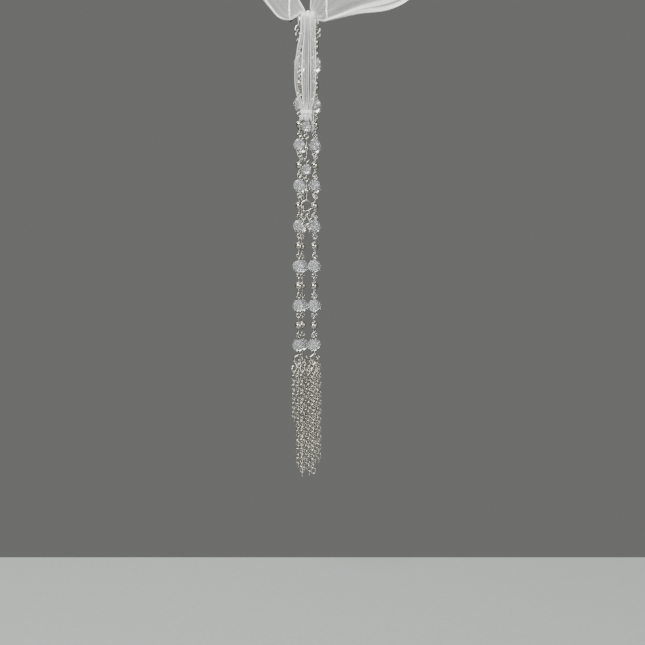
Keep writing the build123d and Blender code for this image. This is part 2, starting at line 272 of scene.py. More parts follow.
@dataclass
class Nodes:
    """Short hand for building one node tree.

    Attributes:
        tree: The node tree being filled.
    """

    tree: bpy.types.NodeTree

    def add(self, kind: str, **settings: object) -> bpy.types.Node:
        """A new node of a kind, with plain attributes set."""
        node = self.tree.nodes.new(kind)
        for name, value in settings.items():
            setattr(node, name, value)
        return node

    def link(self, source: bpy.types.NodeSocket, target: bpy.types.NodeSocket) -> None:
        """Joins an output to an input."""
        self.tree.links.new(source, target)

    def feed(self, target: bpy.types.NodeSocket, term: object) -> None:
        """Fills an input from a socket or a plain value. None leaves it as it is."""
        if isinstance(term, bpy.types.NodeSocket):
            self.link(term, target)
        elif term is not None:
            target.default_value = term

    def group(self, tree: bpy.types.NodeTree, **inputs: float) -> bpy.types.Node:
        """A group node, with its plain inputs set."""
        node = self.add("ShaderNodeGroup")
        node.node_tree = tree
        for name, value in inputs.items():
            node.inputs[name].default_value = value
        return node

    def bump(
        self, shader: bpy.types.Node, height: bpy.types.NodeSocket, strength: float, distance: float
    ) -> None:
        """Joins a height to a shader's normal; distance is the depth of the bumps, in metres."""
        node = self.add("ShaderNodeBump")
        node.inputs["Strength"].default_value = strength
        node.inputs["Distance"].default_value = distance
        self.link(height, node.inputs["Height"])
        self.link(node.outputs[0], shader.inputs["Normal"])

    def math(
        self, operation: str, first: object, second: object = None, third: object = None
    ) -> bpy.types.NodeSocket:
        """A Math node; each term is a number or a socket.

        Args:
            operation: The node's operation name.
            first: First term.
            second: Second term, if the operation has one.
            third: Third term, if the operation has one.

        Returns:
            The value socket.
        """
        node = self.add("ShaderNodeMath", operation=operation)
        for target, term in zip(node.inputs, (first, second, third)):
            self.feed(target, term)
        return node.outputs[0]

    def mix_colour(self, share: object, first: object, second: object) -> bpy.types.NodeSocket:
        """Blends two colours by a share.

        Args:
            share: Number or value socket, 0 for the first colour.
            first: RGBA tuple or colour socket.
            second: RGBA tuple or colour socket.

        Returns:
            The colour socket.
        """
        node = self.add("ShaderNodeMix", data_type="RGBA")
        for target, term in ((node.inputs[0], share), (node.inputs[6], first), (node.inputs[7], second)):
            self.feed(target, term)
        return node.outputs[2]


def new_group(name: str, inputs: dict[str, tuple[str, object]], outputs: dict[str, str]) -> Nodes:
    """An empty shader node group with named sockets.

    Args:
        name: Group name.
        inputs: Socket name to (type, default).
        outputs: Socket name to type.

    Returns:
        The builder for the group's tree.
    """
    tree = bpy.data.node_groups.new(name, "ShaderNodeTree")
    for label, (kind, default) in inputs.items():
        socket = tree.interface.new_socket(label, in_out="INPUT", socket_type=kind)
        socket.default_value = default
    for label, kind in outputs.items():
        tree.interface.new_socket(label, in_out="OUTPUT", socket_type=kind)
    return Nodes(tree)


FLOAT, VECTOR = "NodeSocketFloat", "NodeSocketVector"


def build_weave_group() -> bpy.types.NodeTree:
    """Sheer plain weave: two sets of round threads crossing on the cloth's UV map.

    Height is the greater of |cos| ridges across and along; cover is where either thread stands.

    Returns:
        The group: UV and thread pitch in, height, cover and slub out.
    """
    group = new_group(
        "sheer_weave",
        {"Place": (VECTOR, (0, 0, 0)), "Pitch": (FLOAT, 0.4), "Slub": (FLOAT, 0.3)},
        {"Height": FLOAT, "Cover": FLOAT, "Slub": FLOAT},
    )
    source = group.add("NodeGroupInput")
    target = group.add("NodeGroupOutput")
    parts = group.add("ShaderNodeSeparateXYZ")
    group.link(source.outputs["Place"], parts.inputs[0])
    rate = group.math("DIVIDE", math.pi, source.outputs["Pitch"])
    warp = group.math("ABSOLUTE", group.math("COSINE", group.math("MULTIPLY", parts.outputs[0], rate)))
    weft = group.math("ABSOLUTE", group.math("COSINE", group.math("MULTIPLY", parts.outputs[1], rate)))
    height = group.math("MAXIMUM", warp, weft)
    cover = group.math("SMOOTH_MIN", group.math("POWER", height, 3.0), 1.0, 0.1)
    stretch = group.add("ShaderNodeMapping")
    stretch.inputs["Scale"].default_value = (0.15, 2.2, 1.0)
    group.link(source.outputs["Place"], stretch.inputs["Vector"])
    noise = group.add("ShaderNodeTexNoise")
    noise.inputs["Scale"].default_value = 1.0
    noise.inputs["Detail"].default_value = 3.0
    group.link(stretch.outputs[0], noise.inputs["Vector"])
    slub = group.math("MULTIPLY", group.math("SUBTRACT", noise.outputs[0], 0.5), source.outputs["Slub"])
    group.link(height, target.inputs["Height"])
    group.link(cover, target.inputs["Cover"])
    group.link(slub, target.inputs["Slub"])
    return group.tree


def build_wear_group() -> bpy.types.NodeTree:
    """Handling marks on metal: large cloudy smears and fine specks on Object coordinates.

    Returns:
        The group: scale in, smear and speck values out.
    """
    group = new_group("handling_marks", {"Scale": (FLOAT, 90.0)}, {"Smear": FLOAT, "Speck": FLOAT})
    source = group.add("NodeGroupInput")
    target = group.add("NodeGroupOutput")
    place = group.add("ShaderNodeTexCoord")
    smear = group.add("ShaderNodeTexNoise")
    smear.inputs["Detail"].default_value = 4.0
    group.link(place.outputs["Object"], smear.inputs["Vector"])
    group.link(source.outputs["Scale"], smear.inputs["Scale"])
    speck = group.add("ShaderNodeTexVoronoi")
    group.link(place.outputs["Object"], speck.inputs["Vector"])
    group.link(group.math("MULTIPLY", source.outputs["Scale"], 22.0), speck.inputs["Scale"])
    dots = group.math("LESS_THAN", speck.outputs["Distance"], 0.12)
    group.link(smear.outputs[0], target.inputs["Smear"])
    group.link(dots, target.inputs["Speck"])
    return group.tree


# ---- finishes


def new_material(name: str) -> tuple[bpy.types.Material, Nodes, bpy.types.Node]:
    """A node material with its Principled shader.

    Args:
        name: Material name.

    Returns:
        The material, its node builder and the Principled node.
    """
    material = bpy.data.materials.new(name)
    material.use_nodes = True
    return material, Nodes(material.node_tree), material.node_tree.nodes["Principled BSDF"]


@dataclass(frozen=True)
class Finish:
    """A material of the object.

    Attributes:
        name: Material name.
        colour: Its colour where clean and in the light.
    """

    name: str
    colour: RGBA


@dataclass(frozen=True)
class PolishedMetal(Finish):
    """Bright plated wire and balls.

    Attributes:
        shade: Colour in the smears.
        rough: Roughness where clean.
        smear: Extra roughness in the smears.
        scale: Size of the handling marks, per metre.
    """

    shade: RGBA
    rough: float
    smear: float
    scale: float

    def build(self, wear: bpy.types.NodeTree) -> bpy.types.Material:
        """Metal with cloudy smears that change colour and roughness a little.

        Args:
            wear: The shared handling marks group.

        Returns:
            The material.
        """
        material, nodes, shader = new_material(self.name)
        marks = nodes.group(wear, Scale=self.scale)
        share = nodes.math("MULTIPLY", marks.outputs["Smear"], 0.9)
        nodes.link(nodes.mix_colour(share, self.colour, self.shade), shader.inputs["Base Color"])
        rough = nodes.math("MULTIPLY_ADD", marks.outputs["Smear"], self.smear, self.rough)
        dusty = nodes.math("MULTIPLY_ADD", marks.outputs["Speck"], 0.12, rough)
        nodes.link(dusty, shader.inputs["Roughness"])
        shader.inputs["Metallic"].default_value = 1.0
        nodes.bump(shader, marks.outputs["Smear"], strength=0.04, distance=0.00005)
        return material


@dataclass(frozen=True)
class CutCrystal(Finish):
    """Clear faceted glass beads.

    Attributes:
        index: Refractive index.
    """

    index: float

    def build(self, wear: bpy.types.NodeTree) -> bpy.types.Material:
        """Clear glass with faint finger marks in its roughness.

        Args:
            wear: The shared handling marks group.

        Returns:
            The material.
        """
        material, nodes, shader = new_material(self.name)
        marks = nodes.group(wear, Scale=160.0)
        pale = tuple(channel * 0.96 for channel in self.colour[:3]) + (1.0,)
        nodes.link(nodes.mix_colour(marks.outputs["Smear"], self.colour, pale), shader.inputs["Base Color"])
        rough = nodes.math("MULTIPLY_ADD", marks.outputs["Smear"], 0.03, 0.005)
        nodes.link(rough, shader.inputs["Roughness"])
        shader.inputs["Transmission Weight"].default_value = 0.9
        shader.inputs["Coat Weight"].default_value = 0.6
        shader.inputs["IOR"].default_value = self.index
        return material


@dataclass(frozen=True)
class Organza(Finish):
    """Sheer woven ribbon with denser satin edges.

    Attributes:
        shade: Thread colour in the slubs, and painted shade in the gaps between the threads.
        gap_cover: Opacity between threads.
        thread_cover: Opacity on a thread.
        edge_cover: Opacity of the satin edge.
        pitch: Thread pitch, in millimetres.
    """

    shade: RGBA
    gap_cover: float
    thread_cover: float
    edge_cover: float
    pitch: float

    def build(self, weave: bpy.types.NodeTree) -> bpy.types.Material:
        """Woven cloth whose opacity follows its threads, its folds and its satin edge.

        Args:
            weave: The shared weave group.

        Returns:
            The material.
        """
        material, nodes, shader = new_material(self.name)
        place = nodes.add("ShaderNodeUVMap", uv_map=CLOTH_UV)
        cloth = nodes.group(weave, Pitch=self.pitch)
        nodes.link(place.outputs[0], cloth.inputs["Place"])
        satin = nodes.add("ShaderNodeAttribute", attribute_name=SATIN).outputs["Fac"]
        span = self.thread_cover - self.gap_cover
        sheer = nodes.math("MULTIPLY_ADD", cloth.outputs["Cover"], span, self.gap_cover)
        uneven = nodes.math("ADD", sheer, nodes.math("MULTIPLY", cloth.outputs["Slub"], 0.5))
        rest = nodes.math("SUBTRACT", self.edge_cover, uneven)
        cover = nodes.math("MULTIPLY_ADD", satin, rest, uneven)
        nodes.link(nodes.math("MINIMUM", nodes.math("MAXIMUM", cover, 0.02), 1.0), shader.inputs["Alpha"])
        # Painted shade: the colour darkens where the weave's height is low, between the threads; the slub
        # noise adds a random thread tone.
        tone = nodes.math("ADD", nodes.math("MULTIPLY", cloth.outputs["Height"], 0.6), cloth.outputs["Slub"])
        nodes.link(nodes.mix_colour(tone, self.shade, self.colour), shader.inputs["Base Color"])
        nodes.link(nodes.math("MULTIPLY_ADD", satin, -0.22, 0.55), shader.inputs["Roughness"])
        nodes.bump(shader, cloth.outputs["Height"], strength=0.35, distance=0.00008)
        shader.inputs["Sheen Weight"].default_value = 0.15
        shader.inputs["Sheen Roughness"].default_value = 0.4
        return material


@dataclass(frozen=True)
class Thread(Finish):
    """Twisted white sewing thread and loose ribbon yarns.

    Attributes:
        shade: Painted shade in the groove between the plies.
    """

    shade: RGBA

    def build(self, wear: bpy.types.NodeTree) -> bpy.types.Material:
        """Soft matt thread with a slanting ply pattern on Object coordinates, with painted shade in the
        grooves between the plies.

        Args:
            wear: The shared handling marks group, for uneven tone.

        Returns:
            The material.
        """
        material, nodes, shader = new_material(self.name)
        place = nodes.add("ShaderNodeTexCoord")
        ply = nodes.add("ShaderNodeTexWave", bands_direction="DIAGONAL")
        ply.inputs["Scale"].default_value = 900.0
        ply.inputs["Distortion"].default_value = 0.6
        nodes.link(place.outputs["Object"], ply.inputs["Vector"])
        marks = nodes.group(wear, Scale=240.0)
        half_smear = nodes.math("MULTIPLY", marks.outputs["Smear"], 0.5)
        # Painted shade: the colour darkens in the ply grooves, where the bump is low; the handling marks add
        # a random uneven tone.
        tone = nodes.math("MULTIPLY_ADD", ply.outputs["Fac"], 0.5, half_smear)
        nodes.link(nodes.mix_colour(tone, self.shade, self.colour), shader.inputs["Base Color"])
        nodes.link(nodes.math("MULTIPLY_ADD", ply.outputs["Fac"], 0.1, 0.55), shader.inputs["Roughness"])
        nodes.bump(shader, ply.outputs["Fac"], strength=0.3, distance=0.0001)
        shader.inputs["Sheen Weight"].default_value = 0.3
        return material


@dataclass
class Finishes:
    """Every material of the object, built once.

    Attributes:
        by_slot: Slot to material.
    """

    by_slot: dict[Slot, bpy.types.Material] = field(default_factory=dict)

    def build(self) -> None:
        """Makes the two shared groups and the five materials."""
        wear, weave = build_wear_group(), build_weave_group()
        steel = PolishedMetal(
            "pin_steel", (0.62, 0.61, 0.6, 1), (0.42, 0.41, 0.4, 1), rough=0.12, smear=0.16, scale=120.0
        )
        chrome = PolishedMetal(
            "bright_chrome", (0.66, 0.64, 0.58, 1), (0.38, 0.35, 0.3, 1), rough=0.04, smear=0.08, scale=150.0
        )
        crystal = CutCrystal("crystal", (0.97, 0.98, 0.99, 1), index=1.48)
        organza = Organza(
            "organza",
            colour=(0.97, 0.97, 0.95, 1),
            shade=(0.86, 0.87, 0.85, 1),
            gap_cover=0.02,
            thread_cover=0.1,
            edge_cover=0.98,
            pitch=0.42,
        )
        thread = Thread("white_thread", (0.95, 0.95, 0.93, 1), (0.7, 0.71, 0.7, 1))
        self.by_slot = {
            Slot.STEEL: steel.build(wear),
            Slot.CHROME: chrome.build(wear),
            Slot.CRYSTAL: crystal.build(wear),
            Slot.ORGANZA: organza.build(weave),
            Slot.THREAD: thread.build(wear),
        }

    def dress(self, piece: bpy.types.Object, slot: Slot) -> None:
        """Puts a slot's material on a new piece."""
        piece.data.materials.append(self.by_slot[slot])

    def dress_frame(self) -> None:
        """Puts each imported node's own finish on its material slots."""
        slots = {part["node"]: Slot(part["material_slot"]) for part in frame["record"]["subparts"]}
        for node, piece in frame["nodes"].items():
            for holder in piece.material_slots:
                holder.material = self.by_slot[slots[node]]
        LOG.info("dressed %d packed nodes", len(slots))


# ---- ribbon


@dataclass
class BowLoop:
    """One puffed loop of the bow: a ribbon that leaves the knot, turns at the tip and comes back.

    Attributes:
        side: Name of the side.
        root: Place where the loop leaves the knot, across and up.
        angle: Direction of the loop, degrees from straight right.
        length: Length from root to tip.
        depth: Greatest distance between front and back layers.
        centre_y: Middle plane between the layers.
        low_edge: Stops of the lower edge: share of the length, sideways place.
        high_edge: Stops of the upper edge.
        corner: How much the tip's corners are rounded off.
        pleats: Number of gathers at the knot.
        phase: Shift of the soft folds.
        wall: Thickness of the cloth.
        steps: Grid points along, once round.
        across: Grid points from edge to edge.
        satin_width: Share of the half width that the satin edge covers.
        gather_depth: Height of the gathers at the knot.
        fold_depth: Height of the soft folds.
    """

    side: str
    root: tuple[float, float]
    angle: float
    length: float
    depth: float
    centre_y: float
    low_edge: Stops
    high_edge: Stops
    corner: float
    pleats: float
    phase: float
    wall: float = 0.16
    steps: int = 161
    across: int = 81
    satin_width: float = 0.1
    gather_depth: float = 0.75
    fold_depth: float = 1.25

    def surface(self) -> tuple[np.ndarray, np.ndarray, np.ndarray]:
        """Points of the loop on an (along, across) grid.

        Along runs once round: reach = length times (1 - cos) / 2 to a power, and depth = sin times a
        swell that opens toward the tip. Across runs between the two edge curves. Gathers are a wave
        across that fades out with reach, and soft folds are slower waves that grow with it.

        Returns:
            Points (steps, across, 3), the distance along and the share across.
        """
        turn = np.linspace(0.0, 2 * math.pi, self.steps)[:, None]
        t = np.linspace(-1.0, 1.0, self.across)[None, :]
        share = ((1 - np.cos(turn)) / 2) ** 0.82
        tip = 1.0 - self.corner * np.abs(t) ** 3.0
        reach = share * tip
        low, high = eased(share, self.low_edge), eased(share, self.high_edge)
        sideways = (low + high) / 2 + (high - low) / 2 * t
        swell = 0.16 + 0.84 * smoothstep(share * 1.25)
        crown = 1.0 - 0.35 * np.abs(t) ** 2.4
        layer = -np.sin(turn) / 2 * self.depth * swell * crown
        front = np.where(turn < math.pi, 1.0, -1.0)
        gather = self.gather_depth * np.exp(-share / 0.3) * smoothstep(share / 0.05)
        fold = self.fold_depth * smoothstep(share / 0.5) * (1 - 0.7 * smoothstep((share - 0.75) / 0.25))
        ripple = gather * np.sin(self.pleats * math.pi * t + self.phase + 1.3 * front)
        ripple = ripple + 0.45 * gather * np.sin(2.3 * self.pleats * math.pi * t + 1.1 * self.phase)
        ripple = ripple + fold * np.sin(2.1 * math.pi * t + self.phase * front + 2.2 * share) * 0.55
        ripple = ripple + 0.5 * fold * np.sin(4.7 * math.pi * t - 1.7 * share + front) * 0.45
        depth = self.centre_y + layer + ripple
        angle = math.radians(self.angle)
        run = np.array([math.cos(angle), 0.0, math.sin(angle)])
        side = np.array([-run[2], 0.0, run[0]])
        start = np.array([self.root[0], 0.0, self.root[1]])
        points = start + (reach * self.length)[..., None] * run + sideways[..., None] * side
        points[..., 1] = depth
        along = np.broadcast_to(turn / math.pi * self.length, reach.shape)
        return points, along, np.broadcast_to(t, reach.shape)

    def build(self, finishes: Finishes) -> None:
        points, along, share = self.surface()
        piece = strip_piece(f"organza_loop_{self.side}", points)
        width = self.high_edge[-2][1] - self.low_edge[-2][1]
        add_uv(piece, along, share * width / 2)
        edge = 1.0 - smoothstep((1.0 - np.abs(share)) / self.satin_width - 0.35)
        gathered = np.exp(-np.minimum(along, 2 * self.length - along) / 4.0) * 0.3
        add_value(piece, SATIN, np.clip(edge + gathered, 0, 1))
        thicken(piece, self.wall)
        finish_piece(piece, finishes, Body.PIN, Slot.ORGANZA, f"bow_loop_{self.side}")


@dataclass
class Knot:
    """Ribbon wound over itself round the bridge: a plump barrel with slanting folds.

    Attributes:
        half_width: Half its width along the bridge.
        radius: Radius at the waist of the barrel.
        sag: How far the wound ribbon hangs below the bridge.
        end_radius: Radius where it meets the loops.
        ridge_height: Height of the slanting folds.
        crease_height: Height of the fine creases.
        steps: Grid points along the barrel.
        round_steps: Grid points round it.
    """

    half_width: float = 4.9
    radius: float = 4.3
    sag: float = 1.9
    end_radius: float = 3.5
    ridge_height: float = 0.42
    crease_height: float = 0.14
    steps: int = 97
    round_steps: int = 144

    def build(self, finishes: Finishes) -> None:
        """Closed barrel: radius falls to its ends by a cosine power, with ridged folds that wind round."""
        s = np.linspace(-1.0, 1.0, self.steps)[:, None]
        a = np.linspace(0.0, 2 * math.pi, self.round_steps, endpoint=False)[None, :]
        cap = np.sqrt(np.clip(1.0 - np.abs(s) ** 9, 0.0, 1.0))
        barrel = self.end_radius + (self.radius - self.end_radius) * np.cos(s * math.pi / 2) ** 0.8
        lean = s * 2.6 + 0.55 * np.sin(a + 0.4)
        ridges = np.abs(np.sin(2.6 * lean)) ** 0.7 - 0.6
        creases = 0.5 * np.sin(9.0 * s + 2.0 * np.sin(a * 2 + 0.7))
        creases = creases + 0.4 * np.sin(21 * s + 1.5 * np.cos(3 * a))
        radius = (barrel + self.ridge_height * ridges + self.crease_height * creases) * cap
        x = self.half_width * (s + 0.03 * np.sin(2 * a) * (1 - s**2))
        points = np.stack(np.broadcast_arrays(x, -radius * np.sin(a), radius * np.cos(a) - self.sag), -1)
        faces = grid_faces(self.steps, self.round_steps, False, True)
        piece = new_piece("organza_knot", points.reshape(-1, 3), faces)
        along = np.broadcast_to(a * self.radius, radius.shape)
        add_uv(piece, along, np.broadcast_to(s * self.half_width, radius.shape))
        add_value(piece, SATIN, np.clip(0.72 + 0.28 * ridges, 0, 1))
        finish_piece(piece, finishes, Body.PIN, Slot.ORGANZA, "ribbon_knot")


@dataclass
class Tail:
    """One ribbon tail hanging in front: a narrow strip folded lengthwise into soft pleats.

    Attributes:
        name: left, centre or right.
        left: Stops of its left edge: depth below the knot, place across.
        right: Stops of its right edge.
        folds: Number of lengthwise folds.
        fold_depth: Depth of the folds.
        phase: Shift of the folds.
        wall: Thickness of the cloth.
        top: Height of its top end.
        bottom: Height of its bottom end.
        held_z: Height down to which it stays with the knot; not used.
        free_z: Height below which it would swing freely; not used.
        steps: Grid points down the strip.
        across: Grid points from edge to edge.
        satin_width: Share of the half width that the satin edge covers.
        waist_reach: Distance over which the thread draws the cloth in.
    """

    name: str
    left: Stops
    right: Stops
    folds: float
    fold_depth: float
    phase: float
    wall: float = 0.14
    top: float = -1.6
    bottom: float = -49.0
    held_z: float = -1.6
    free_z: float = -5.5
    steps: int = 121
    across: int = 49
    satin_width: float = 0.22
    waist_reach: float = 5.0

    def surface(self) -> tuple[np.ndarray, np.ndarray, np.ndarray]:
        """Points of the strip: across between its edges, with a folded wave in depth.

        The middle line leaves the knot's front and settles at its hanging plane. The wave is a sine
        across, pinched together where the waist thread binds it.

        Returns:
            Points (steps, across, 3), the drop and the share across.
        """
        z = np.linspace(self.top, self.bottom, self.steps)[:, None]
        t = np.linspace(-1.0, 1.0, self.across)[None, :]
        left, right = eased(-z, self.left), eased(-z, self.right)
        bunched = t + 0.12 * np.sin(math.pi * t * self.folds + self.phase)
        x = (left + right) / 2 + (right - left) / 2 * bunched
        fall = [(0.0, -4.9), (4.0, -6.3), (8.0, -7.3), (16.0, -8.7)]
        line = eased(-z, fall + [(24.0, TAIL_PLANE_Y), (50.0, TAIL_PLANE_Y)])
        pinch = 0.42 + 0.58 * smoothstep(np.abs(-z + WAIST_Z) / self.waist_reach)
        wave = np.sin(math.pi * t * self.folds + self.phase + 0.25 * np.sin(-z / 6.0))
        wave = wave + 0.3 * np.sin(2.7 * math.pi * t * self.folds - z / 9.0)
        y = line + self.fold_depth * pinch * wave + 0.18 * np.sin(-z / 3.1 + 3 * t)
        points = np.stack(np.broadcast_arrays(x, y, z), -1)
        return points, np.broadcast_to(-z, x.shape), np.broadcast_to(t, x.shape)

    def build(self, finishes: Finishes) -> None:
        points, drop, share = self.surface()
        piece = strip_piece(f"organza_tail_{self.name}", points)
        girth = np.linalg.norm(np.diff(points, axis=1), axis=-1).sum(1).mean()
        add_uv(piece, drop, share * girth / 2)
        edge = 1.0 - smoothstep((1.0 - np.abs(share)) / self.satin_width - 0.3)
        bound = np.exp(-(((drop + WAIST_Z) / 4.0) ** 2)) * 0.7
        add_value(piece, SATIN, np.clip(edge * 0.9 + bound + 0.3 * np.exp(-drop / 10.0) + 0.1, 0, 1))
        thicken(piece, self.wall)
        finishes.dress(piece, Slot.ORGANZA)
        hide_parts(f"ribbon_tail_{self.name}")
        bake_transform(piece)


@dataclass
class WaistBinding:
    """Thread wound round the three tails, with a little eye below for the centre strand.

    Attributes:
        centre: Middle of the binding.
        half_width: Half its width across.
        half_depth: Half its depth.
        height: Height that the turns cover.
        turns: Number of turns.
        thread: Radius of the thread.
        wander: How far a turn strays up and down.
        eye_place: Middle of the eye, across and up.
        eye_radius: Radius of the eye's middle line.
        eye_thread: Radius of its thread.
    """

    centre: Point = (-0.5, TAIL_PLANE_Y, WAIST_Z)
    half_width: float = 2.75
    half_depth: float = 1.05
    height: float = 1.5
    turns: int = 6
    thread: float = 0.15
    wander: float = 0.06
    eye_place: tuple[float, float] = (-0.6, -49.6)
    eye_radius: float = 0.95
    eye_thread: float = 0.25

    def build(self, finishes: Finishes) -> None:
        """A tube along a flattened helix, and a second tube closed into an eye."""
        a = np.linspace(0.0, 2 * math.pi * self.turns, 48 * self.turns)
        wander = self.wander * np.sin(2.7 * a)
        x = self.centre[0] + self.half_width * np.cos(a)
        y = self.centre[1] + self.half_depth * np.sin(a)
        z = self.centre[2] + self.height * (a / a[-1] - 0.5) + wander
        coil = np.stack([x, y, z], -1)[None]
        b = np.linspace(0.0, 2 * math.pi, coil.shape[1])
        eye_y = self.centre[1] + self.eye_radius * np.sin(b)
        eye_z = self.eye_place[1] + self.eye_radius * np.cos(b)
        eye = np.stack([0 * b + self.eye_place[0], eye_y, eye_z], -1)[None]
        paths = np.concatenate([coil, eye])
        radius = np.stack([np.full(len(a), self.thread), np.full(len(a), self.eye_thread)])
        piece = many_tubes("waist_binding", paths, radius, 8)
        finish_piece(piece, finishes, Body.TAILS, Slot.THREAD, "waist_thread")


@dataclass
class Fray:
    """Loose ribbon yarns at a cut end: thin curved threads that fan out and hang.

    Attributes:
        name: Piece name.
        body: Body it rides on.
        count: Number of yarns.
        start: Middle of the cut end.
        spread: Half width and half depth of the cut end.
        drop: Shortest and longest yarn.
        fan: How far the tips move sideways.
        seed: Seed of the random draws.
        yarn: Radius of a yarn.
        steps: Points along a yarn.
    """

    name: str
    body: Body
    count: int
    start: Point
    spread: tuple[float, float]
    drop: tuple[float, float]
    fan: float
    seed: int
    yarn: float = 0.07
    steps: int = 14

    def build(self, finishes: Finishes) -> None:
        """Each yarn falls by its own length while a quadratic and a small wave carry it sideways."""
        draws = np.random.default_rng(self.seed).uniform(-1.0, 1.0, (self.count, 7))
        s = np.linspace(0.0, 1.0, self.steps)[None, :]
        length = self.drop[0] + (self.drop[1] - self.drop[0]) * (draws[:, 2:3] + 1) / 2
        across, deep = self.spread
        x = self.start[0] + across * draws[:, 0:1] * (1 + 0.3 * s) + self.fan * draws[:, 3:4] * s**2
        y = self.start[1] + deep * draws[:, 1:2] - 0.5 * self.fan * (draws[:, 4:5] + 0.9) * s**2
        x = x + 0.22 * np.sin(7 * s * (1.3 + draws[:, 5:6]) + 3 * draws[:, 6:7]) * s
        z = self.start[2] - length * s
        paths = np.stack(np.broadcast_arrays(x, y, z), -1)
        radius = np.full(paths.shape[:2], self.yarn)
        piece = many_tubes(self.name, paths, radius, 5)
        finish_piece(piece, finishes, self.body, Slot.THREAD)


@dataclass
class Ribbon:
    """Everything made of ribbon: two loops, the knot, three tails, their binding and frayed ends."""

    loops: list[BowLoop] = field(default_factory=list)
    tails: list[Tail] = field(default_factory=list)
    frays: list[Fray] = field(default_factory=list)

    def plan(self) -> None:
        """Sizes of the loops, tails and frays, which differ from side to side as a hand-tied bow does."""
        self.loops = [
            BowLoop(
                side="left",
                root=(-2.0, 1.0),
                angle=124.0,
                length=51.0,
                depth=12.5,
                centre_y=-3.4,
                low_edge=[(0, -1.0), (0.18, -1.8), (0.4, -5.0), (0.6, -9.0), (0.8, -11.0), (1, -10.5)],
                high_edge=[
                    (0, 6.6), (0.04, 9.6), (0.09, 11.2), (0.23, 12.4), (0.34, 12.7), (0.8, 10.0), (1, 9.5)
                ],
                corner=0.14,
                pleats=4.2,
                phase=0.8,
            ),
            BowLoop(
                side="right",
                root=(2.0, 1.0),
                angle=31.0,
                length=59.0,
                depth=12.5,
                centre_y=-3.4,
                low_edge=[
                    (0, -4.4), (0.05, -6.8), (0.11, -7.8), (0.4, -12.2), (0.68, -17.5), (0.84, -18.7),
                    (1, -18.0),
                ],
                high_edge=[
                    (0, 1.5), (0.07, 6.5), (0.2, 13.5), (0.4, 18.5), (0.65, 19.3), (0.85, 16.5), (1, 12.0)
                ],
                corner=0.16,
                pleats=5.3,
                phase=2.1,
            ),
        ]
        drops = (0.0, 9.0, 19.0, 30.0, 38.0, 44.0, 47.5, 50.0)
        edges = {
            "left": (
                (-3.4, -3.3, -5.0, -6.1, -5.6, -4.0, -3.0, -3.1),
                (-1.5, -1.4, -3.5, -4.8, -4.3, -2.7, -1.7, -1.3),
            ),
            "centre": (
                (-1.3, -1.2, -2.2, -2.6, -2.3, -1.9, -1.5, -1.7),
                (0.9, 1.0, 0.9, 0.8, 0.7, 0.6, 0.3, 0.5),
            ),
            "right": ((1.1, 1.2, 1.3, 1.4, 1.3, 1.0, 0.5, 0.3), (4.0, 3.9, 4.1, 4.2, 3.9, 2.9, 2.0, 2.3)),
        }
        folds = {"left": (2.2, 0.75, 0.4), "centre": (3.1, 0.8, 1.5), "right": (2.8, 0.8, 2.7)}
        self.tails = [
            Tail(name, list(zip(drops, left)), list(zip(drops, right)), *folds[name])
            for name, (left, right) in edges.items()
        ]
        tails, pin = Body.TAILS, Body.PIN
        yarns = {
            "tail_fray": (tails, 70, (-0.5, -9.5, -48.9), (2.2, 0.5), (2.0, 4.4), 1.4, 11),
            "long_yarns": (tails, 3, (2.5, -11.2, -48.9), (0.4, 0.3), (9.0, 10.0), 1.2, 5),
            "knot_fray": (pin, 16, (4.3, -3.2, -3.2), (0.8, 0.8), (1.2, 2.6), 0.8, 8),
        }
        self.frays = [Fray(name, *values) for name, values in yarns.items()]

    def build(self, finishes: Finishes) -> None:
        """Builds every ribbon piece."""
        self.plan()
        for loop in self.loops:
            loop.build(finishes)
        Knot().build(finishes)
        for tail in self.tails:
            tail.build(finishes)
        WaistBinding().build(finishes)
        for fray in self.frays:
            fray.build(finishes)


# ---- chains


